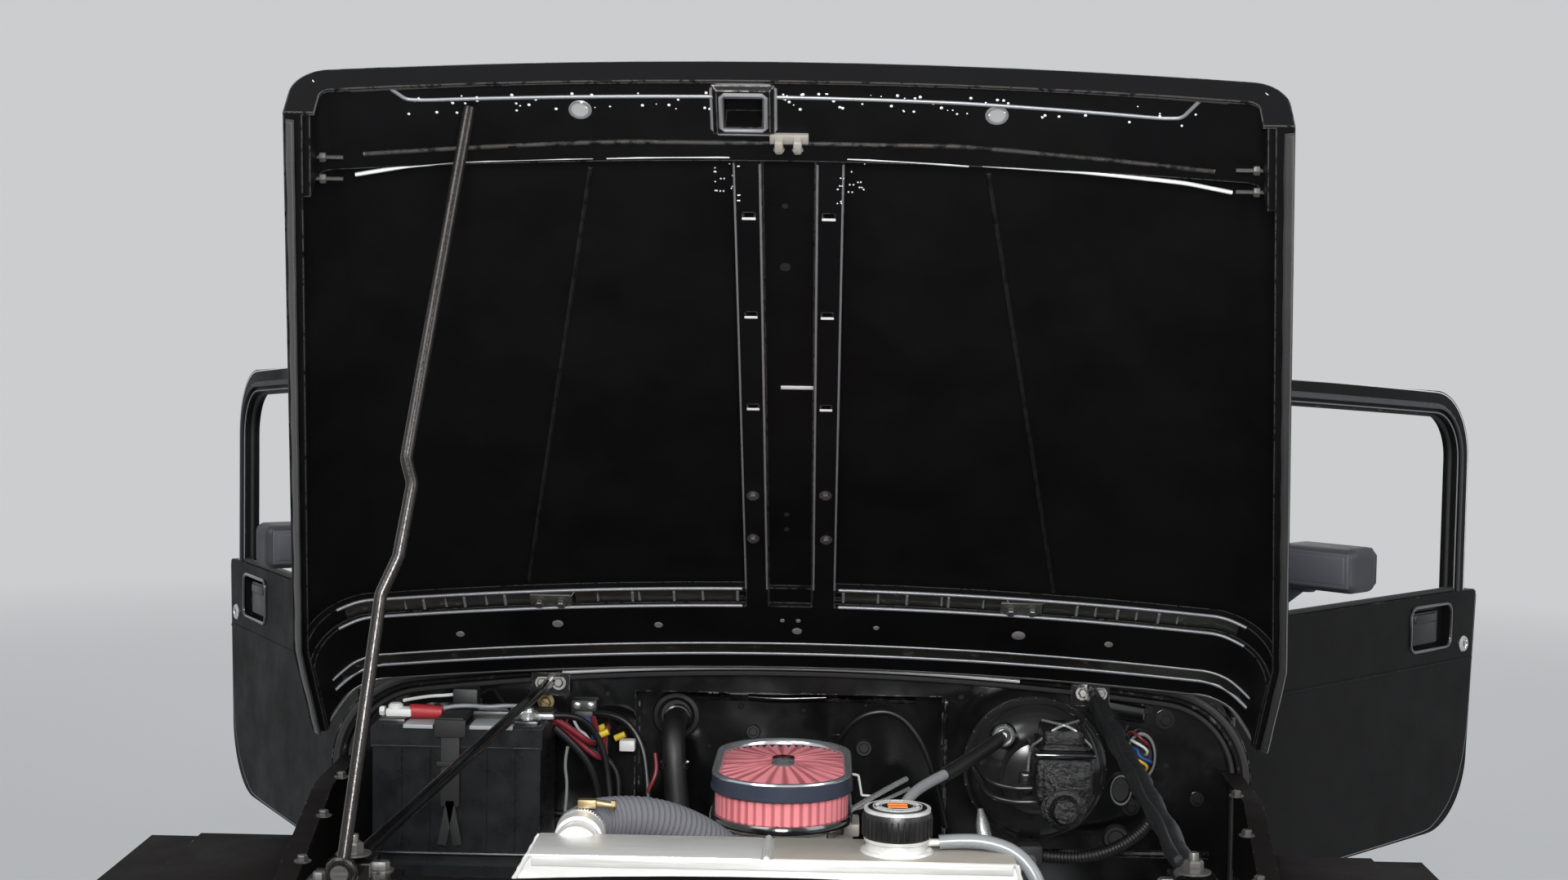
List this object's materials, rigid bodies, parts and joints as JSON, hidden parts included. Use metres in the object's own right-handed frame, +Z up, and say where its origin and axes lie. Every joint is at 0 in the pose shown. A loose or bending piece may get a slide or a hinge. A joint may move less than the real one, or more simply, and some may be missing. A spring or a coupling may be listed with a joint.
{
  "type": "off-road vehicle",
  "caption": "Compact open off-road vehicle with its bonnet propped up on a rod and both doors open, with turning wheels, linked steering, swinging doors, bonnet and spare-wheel tailgate.",
  "frame": {"origin": "on the floor under the middle of the bounding box, measured with the bonnet propped and both doors open", "axes": "+Z up, +Y to the rear of the vehicle, +X to its left-hand side as the driver sees it"},
  "size_m": [2.6136, 3.9172, 1.9395],
  "materials": {
    "black_paint": "gloss",
    "satin_black": "satin",
    "chassis": "satin",
    "tyre": "matt",
    "wheel": "satin",
    "glass": "clear",
    "lamp": "clear",
    "trim_plastic": "matt",
    "mirror_shell": "matt",
    "seat_vinyl": "satin",
    "bare_aluminium": "satin",
    "engine_iron": "rough",
    "filter_red": "pleated",
    "hose_rubber": "matt",
    "rod_steel": "worn",
    "exhaust_steel": "dull",
    "booster_black": "gloss",
    "battery_plastic": "semi-gloss"
  },
  "bodies": {
    "vehicle": {"air_cleaner": "filter_red", "axles": "chassis", "battery": "battery_plastic", "bay_hoses": "hose_rubber", "brake_booster": "booster_black", "bumpers": "chassis", "cowl": "satin_black", "dash": "trim_plastic", "engine": "engine_iron", "exhaust": "exhaust_steel", "floor": "satin_black", "frame_members": "chassis", "frame_rails": "chassis", "fuel_tank": "trim_plastic", "grille": "black_paint", "grille_braces": "rod_steel", "lamps": "lamp", "propshafts": "chassis", "radiator": "bare_aluminium", "roll_bar": "satin_black", "seats": "seat_vinyl", "side_left": "black_paint", "side_right": "black_paint", "suspension": "chassis", "upper_hose": "hose_rubber", "windscreen_frame": "black_paint", "windscreen_glass": "glass", "wing_left": "black_paint", "wing_right": "black_paint"},
    "door_left": {"door_left": "satin_black", "mirror_left": "mirror_shell"},
    "door_right": {"door_right": "satin_black", "mirror_right": "mirror_shell"},
    "bonnet": {"bonnet": "black_paint", "bonnet_inner": "satin_black"},
    "prop": {"prop_rod": "rod_steel"},
    "knuckle_left": {"knuckle_left": "chassis"},
    "knuckle_right": {"knuckle_right": "chassis"},
    "tie_rod": {"tie_rod": "chassis"},
    "wheel_front_left": {"tyre_front_left": "tyre", "rim_front_left": "wheel"},
    "wheel_front_right": {"tyre_front_right": "tyre", "rim_front_right": "wheel"},
    "wheel_rear_left": {"tyre_rear_left": "tyre", "rim_rear_left": "wheel"},
    "wheel_rear_right": {"tyre_rear_right": "tyre", "rim_rear_right": "wheel"},
    "tailgate": {"tailgate": "black_paint", "tyre_spare": "tyre", "rim_spare": "wheel"},
    "steering_wheel": {"steering_wheel": "trim_plastic"}
  },
  "joints": [
    {"name": "steer_left", "type": "hinge", "parent": "vehicle", "child": "knuckle_left", "pos_m": [0.49274, -1.33835, 0.39], "axis": [0, 0, 1], "range_deg": [-28, 28]},
    {"name": "steer_right", "type": "hinge", "parent": "vehicle", "child": "knuckle_right", "pos_m": [-0.65726, -1.33835, 0.39], "axis": [0, 0, 1], "range_deg": [-28, 28]},
    {"name": "tie_rod_end", "type": "hinge", "parent": "knuckle_left", "child": "tie_rod", "pos_m": [0.49274, -1.18835, 0.322], "axis": [0, 0, 1], "range_deg": [-28, 28]},
    {"name": "steering_turn", "type": "hinge", "parent": "vehicle", "child": "steering_wheel", "pos_m": [0.26274, 0.04865, 1.06], "axis": [0, 0.9098, 0.415], "range_deg": [-448, 448]},
    {"name": "door_left_swing", "type": "hinge", "parent": "vehicle", "child": "door_left", "pos_m": [0.68674, -0.15735, 0.85], "axis": [0, 0, -1], "range_deg": [-45, 30.4]},
    {"name": "door_right_swing", "type": "hinge", "parent": "vehicle", "child": "door_right", "pos_m": [-0.85126, -0.15735, 0.85], "axis": [0, 0, 1], "range_deg": [-31.6, 43.8]},
    {"name": "bonnet_swing", "type": "hinge", "parent": "vehicle", "child": "bonnet", "pos_m": [-0.08226, -0.58735, 1.115], "axis": [-1, 0, 0], "range_deg": [0, 70]},
    {"name": "prop_fold", "type": "hinge", "parent": "vehicle", "child": "prop", "pos_m": [-0.53926, -1.64435, 1.046], "axis": [0, 1, 0], "range_deg": [0, 75]},
    {"name": "tailgate_swing", "type": "hinge", "parent": "vehicle", "child": "tailgate", "pos_m": [-0.53226, 1.64565, 0.85], "axis": [0, 0, 1], "range_deg": [0, 90]},
    {"name": "spin_front_left", "type": "hinge", "parent": "knuckle_left", "child": "wheel_front_left", "pos_m": [0.63274, -1.33835, 0.39], "axis": [1, 0, 0], "continuous": true},
    {"name": "spin_front_right", "type": "hinge", "parent": "knuckle_right", "child": "wheel_front_right", "pos_m": [-0.79726, -1.33835, 0.39], "axis": [1, 0, 0], "continuous": true},
    {"name": "spin_rear_left", "type": "hinge", "parent": "vehicle", "child": "wheel_rear_left", "pos_m": [0.63274, 1.03665, 0.39], "axis": [1, 0, 0], "continuous": true},
    {"name": "spin_rear_right", "type": "hinge", "parent": "vehicle", "child": "wheel_rear_right", "pos_m": [-0.79726, 1.03665, 0.39], "axis": [1, 0, 0], "continuous": true}
  ],
  "couplings": [
    {"joint": "steer_right", "follows": "steer_left", "ratio": 1},
    {"joint": "tie_rod_end", "follows": "steer_left", "ratio": -1},
    {"joint": "steering_turn", "follows": "steer_left", "ratio": 16}
  ]
}
